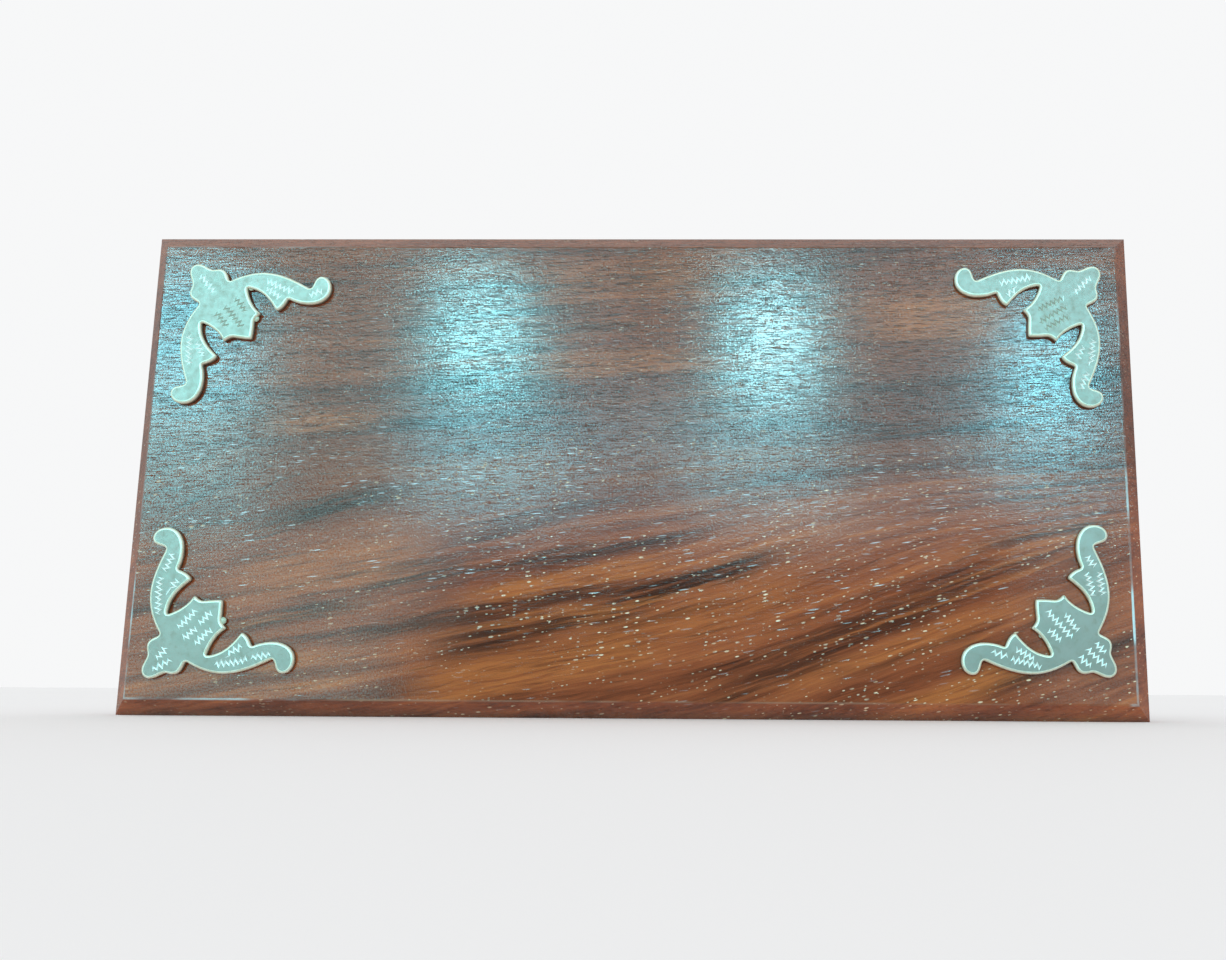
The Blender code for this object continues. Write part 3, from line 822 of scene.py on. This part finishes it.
def worn_rim_and_highlight():
    """The rounded edge of a plate: silver worn to pale brass, its pale colour also a painted highlight along
    the rim.
    """
    made, n, shader = new_material("worn_rim_and_highlight", (0.8, 0.8, 0.6))
    tone = n.noise(n.object_mm(), 0.7, 3.0, 0.6)
    # Painted highlight: the rim is paler than the plate, partly for wear and partly for light caught on it.
    color = n.mix(n.fade(tone, 0.35, 0.65), (0.86, 0.76, 0.58), (0.95, 0.84, 0.68))
    n.feed(shader.inputs["Base Color"], color)
    shader.inputs["Metallic"].default_value = 0.5
    n.feed(shader.inputs["Roughness"], n.fade(tone, 0.3, 0.7, 0.40, 0.55))
    return made


def brass_edge_painted_shade():
    """The sawn edge and the underside of a plate: brass, painted dark as painted shade on the plate's walls.
    """
    made, n, shader = new_material("brass_edge_painted_shade", (0.4, 0.4, 0.3))
    tone = n.noise(n.object_mm(), 0.8, 3.0, 0.6)
    # Painted shade: the walls are dark olive, darker than bare brass, for the shadow beside the plates.
    n.feed(shader.inputs["Base Color"], n.mix(tone, (0.20, 0.20, 0.14), (0.34, 0.33, 0.24)))
    n.feed(shader.inputs["Roughness"], n.fade(tone, 0.3, 0.7, 0.45, 0.6))
    return made


def dark_cut():
    """Cuts that hold dark polish."""
    made, n, shader = new_material("dark_cut", (0.35, 0.4, 0.38))
    tone = n.noise(n.object_mm(), 1.2, 2.0, 0.5)
    n.feed(shader.inputs["Base Color"], n.mix(tone, (0.36, 0.32, 0.25), (0.48, 0.43, 0.34)))
    shader.inputs["Metallic"].default_value = 0.6
    n.feed(shader.inputs["Roughness"], n.fade(tone, 0.3, 0.7, 0.5, 0.6))
    return made


def glue():
    """Beads of yellowish glue."""
    made, n, shader = new_material("clear_glue", (0.7, 0.7, 0.55))
    tone = n.noise(n.object_mm(), 0.8, 2.0, 0.5)
    n.feed(shader.inputs["Base Color"], n.mix(tone, (0.42, 0.42, 0.30), (0.58, 0.56, 0.42)))
    n.feed(shader.inputs["Roughness"], n.fade(tone, 0.3, 0.7, 0.18, 0.3))
    return made


# ---------------------------------------------------------------- back hardware


def plated_steel(name, tint, rough):
    """Plated steel whose crystals differ in shade and gloss."""
    made, n, shader = new_material(name, tint)
    place = n.object_mm()
    spangle = n.noise(place, 0.9, 3.0, 0.6)
    dark = tuple(channel * 0.78 for channel in tint)
    n.feed(shader.inputs["Base Color"], n.mix(n.fade(spangle, 0.35, 0.7), tint, dark))
    shader.inputs["Metallic"].default_value = 1.0
    n.feed(shader.inputs["Roughness"], n.fade(spangle, 0.3, 0.7, rough, rough + 0.14))
    n.feed(shader.inputs["Normal"], n.bump(n.noise(place, 4.0, 3.0, 0.6), 0.25, 0.0001))
    return made


def rubber():
    """Matt moulded rubber."""
    made, n, shader = new_material("moulded_rubber", (0.08, 0.08, 0.08))
    place = n.object_mm()
    mottle = n.noise(place, 0.6, 3.0, 0.6)
    n.feed(shader.inputs["Base Color"], n.mix(mottle, (0.05, 0.05, 0.052), (0.11, 0.11, 0.11)))
    n.feed(shader.inputs["Roughness"], n.fade(mottle, 0.3, 0.7, 0.6, 0.8))
    n.feed(shader.inputs["Normal"], n.bump(n.noise(place, 5.0, 3.0, 0.6), 0.4, 0.0001))
    return made


def repaint(node, material):
    obj = frame["nodes"][node]
    obj.data.materials.clear()
    obj.data.materials.append(material)


# ---------------------------------------------------------------- stage

FACE_WIDTH = (WIDTH - 2 * CHAMFER) * MM
# The camera in widths of the flat face from the face's centre: right, up, towards the viewer.
CAMERA_PLACE = (0.12014, -0.22510, 0.99450)
# Its turn in degrees about the face's own axes.
CAMERA_TURN = (-8.583, -0.815, -0.257)
# Focal length and off-centre crop, in image widths.
FOCAL_LENGTH = 0.81566
CROP = (-0.10035, 0.04887)
FLOOR_REACH = 6.0
LAMP_DISTANCE = 1.6
# Each lamp stands this much nearer than the one before, so that no two lie in one plane.
LAMP_STEP = 0.01
# Lamps that show in the lacquer: left, right, bottom and top of the lamp's image on the face, in millimetres
# from its centre, and how bright it is there.
PANELS = {
    "sky_wide": (-68.0, 92.0, -21.0, 28.0, (0.024, 0.092, 0.112)),
    "sky_right": (92.0, 168.0, -12.0, 28.0, (0.024, 0.092, 0.112)),
    "sky_high_left": (-68.0, -2.0, 28.0, 92.0, (0.024, 0.090, 0.108)),
    "sky_high_middle": (-2.0, 25.0, 28.0, 92.0, (0.022, 0.060, 0.066)),
    "sky_high_right": (25.0, 168.0, 28.0, 92.0, (0.024, 0.090, 0.108)),
    "sky_left": (-168.0, -68.0, -88.0, 92.0, (0.028, 0.090, 0.098)),
    "sky_left_low": (-68.0, -54.0, -48.0, -21.0, (0.028, 0.076, 0.080)),
    "sky_right_low": (116.0, 172.0, -90.0, -14.0, (0.018, 0.040, 0.044)),
    "window_left": (-60.0, -34.0, 24.0, 58.0, (0.24, 1.02, 1.14)),
    "window_left_core": (-53.0, -41.0, 29.0, 52.0, (0.22, 0.08, 0.08)),
    "window_middle": (27.5, 54.0, 21.0, 57.0, (0.23, 0.95, 1.07)),
    "window_middle_core": (34.0, 48.0, 26.0, 53.0, (0.28, 0.10, 0.10)),
    "window_right": (112.0, 136.0, 14.0, 52.0, (0.22, 0.78, 0.93)),
    "window_side": (-176.0, -116.0, 16.0, 64.0, (0.13, 0.53, 0.64)),
    "glow_left": (-66.0, -24.0, -14.0, 24.0, (0.040, 0.18, 0.22)),
    "glow_left_low": (-72.0, -14.0, -18.0, 12.0, (0.013, 0.055, 0.066)),
    "glow_middle": (22.0, 60.0, -10.0, 22.0, (0.040, 0.18, 0.22)),
    "glow_middle_low": (14.0, 66.0, -18.0, 6.0, (0.013, 0.050, 0.055)),
    "glow_right": (106.0, 138.0, -10.0, 14.0, (0.040, 0.21, 0.26)),
    "glow_right_low": (92.0, 168.0, -6.0, 30.0, (0.012, 0.056, 0.070)),
    "glow_side": (-176.0, -112.0, -18.0, 16.0, (0.050, 0.21, 0.24)),
    "glow_between": (-24.0, 24.0, -6.0, 20.0, (0.017, 0.085, 0.110)),
}


def make_camera():
    data = bpy.data.cameras.new("camera")
    data.sensor_width = 36.0
    data.lens = FOCAL_LENGTH * data.sensor_width
    data.shift_x, data.shift_y = CROP
    data.clip_start = 0.01
    data.clip_end = 50.0
    camera = bpy.data.objects.new("camera", data)
    turn_x, turn_y, turn_z = (
        Matrix.Rotation(radians(angle), 3, axis) for angle, axis in zip(CAMERA_TURN, "XYZ")
    )
    face_to_camera = turn_z @ turn_y @ turn_x
    # The face's own axes are right, up and out of the face.
    face_to_row = Matrix(((1, 0, 0), (0, 0, -1), (0, 1, 0)))
    spot = Vector((CENTER.x, FACE_Y, CENTER.z)) + face_to_row @ Vector(CAMERA_PLACE) * FACE_WIDTH
    camera.matrix_world = Matrix.Translation(spot) @ (face_to_row @ face_to_camera.transposed()).to_4x4()
    bpy.context.scene.collection.objects.link(camera)
    bpy.context.scene.camera = camera
    return spot


def mirrored(eye, x, z, distance):
    """Where a lamp stands at a distance in front of the face, for the eye to see it in the face at (x, z)."""
    spot = Vector((CENTER.x + x * MM, FACE_Y, CENTER.z + z * MM))
    ray = spot - eye
    ray.y = -ray.y
    return spot + ray * (distance / -ray.y)


def softbox(name, eye, left, right, low, high, distance, radiance):
    """A lamp whose mirror image fills that much of the face."""
    a = mirrored(eye, left, low, distance)
    b = mirrored(eye, right, high, distance)
    width, height = b.x - a.x, b.z - a.z
    data = bpy.data.lights.new(name, "AREA")
    data.shape = "RECTANGLE"
    data.size, data.size_y = width, height
    level = max(radiance)
    data.color = tuple(channel / level for channel in radiance)
    data.energy = level * width * height * pi
    lamp = bpy.data.objects.new(name, data)
    lamp.location = (a + b) / 2
    lamp.rotation_euler = Vector((0, 1, 0)).to_track_quat("-Z", "Z").to_euler()
    lamp.visible_camera = False
    bpy.context.scene.collection.objects.link(lamp)
    return lamp


def make_world():
    """A pale room, dim low down in front of the board. The camera sees it plain."""
    world = bpy.data.worlds.new("studio")
    bpy.context.scene.world = world
    world.use_nodes = True
    n = Nodes(world.node_tree)
    background = next(node for node in world.node_tree.nodes if node.type == "BACKGROUND")
    _, y, z = n.split(n.add("ShaderNodeTexCoord").outputs["Generated"])
    low_in_front = n.product(n.fade(y, -0.62, -0.86), n.fade(z, 0.80, 0.30))
    sky = n.mix(n.fade(z, 0.10, 0.90), (0.46, 0.44, 0.43), (0.78, 0.77, 0.77))
    room = n.mix(low_in_front, sky, (0.10, 0.10, 0.10))
    seen = n.add("ShaderNodeLightPath").outputs["Is Camera Ray"]
    n.feed(background.inputs["Color"], n.mix(seen, room, (0.93, 0.935, 0.94)))
    background.inputs["Strength"].default_value = 1.0


def make_floor():
    mesh = bpy.data.meshes.new("floor")
    square = ((-1, -1), (1, -1), (1, 1), (-1, 1))
    corners = [(x * FLOOR_REACH, y * FLOOR_REACH, BOARD_LOW.z) for x, y in square]
    mesh.from_pydata(corners, [], [(0, 1, 2, 3)])
    floor = bpy.data.objects.new("floor", mesh)
    bpy.context.scene.collection.objects.link(floor)
    made, n, shader = new_material("pale_floor", (0.85, 0.85, 0.85))
    tone = n.noise(n.object_mm(), 0.004, 2.0, 0.5)
    n.feed(shader.inputs["Base Color"], n.mix(tone, (0.84, 0.86, 0.87), (0.87, 0.89, 0.90)))
    shader.inputs["Roughness"].default_value = 0.75
    mesh.materials.append(made)
    floor.visible_glossy = False
    return floor


def make_lamps(eye):
    """The lamps light everything but the floor."""
    lit = bpy.data.collections.new("lit_by_panels")
    for obj in bpy.context.scene.objects:
        if obj.type == "MESH" and obj.name != "floor":
            lit.objects.link(obj)
    for number, (name, (left, right, low, high, image)) in enumerate(PANELS.items()):
        radiance = tuple(channel / LACQUER_MIRROR for channel in image)
        distance = LAMP_DISTANCE - LAMP_STEP * number
        lamp = softbox(name, eye, left, right, low, high, distance, radiance)
        lamp.light_linking.receiver_collection = lit


def make_stage_light(floor):
    """A wide soft light from above, for the floor only."""
    data = bpy.data.lights.new("stage_light", "SUN")
    data.angle = radians(70)
    data.energy = 1.15
    overhead = bpy.data.objects.new("stage_light", data)
    overhead.rotation_euler = (radians(12), radians(-8), 0)
    bpy.context.scene.collection.objects.link(overhead)
    lit = bpy.data.collections.new("lit_by_stage_light")
    lit.objects.link(floor)
    overhead.light_linking.receiver_collection = lit


# ---------------------------------------------------------------- build

repaint("board", rosewood())
plate_materials = (silver_plate(), bright_cut(), worn_rim_and_highlight(), brass_edge_painted_shade(), dark_cut(), glue())
for corner in CORNERS:
    make_ornament(corner, plate_materials)

zinc = plated_steel("zinc_plate", (0.66, 0.67, 0.69), 0.28)
nickel = plated_steel("nickel_wire", (0.74, 0.72, 0.68), 0.16)
black_rubber = rubber()
for side in ("left", "right"):
    repaint(f"hanger_strap_{side}", zinc)
    repaint(f"hanger_screw_{side}", zinc)
    repaint(f"hanger_ring_{side}", nickel)
for corner in CORNERS:
    repaint(f"bumper_{corner}", black_rubber)

eye = make_camera()
floor = make_floor()
make_world()
make_lamps(eye)
make_stage_light(floor)
bpy.context.scene.view_settings.view_transform = "Standard"
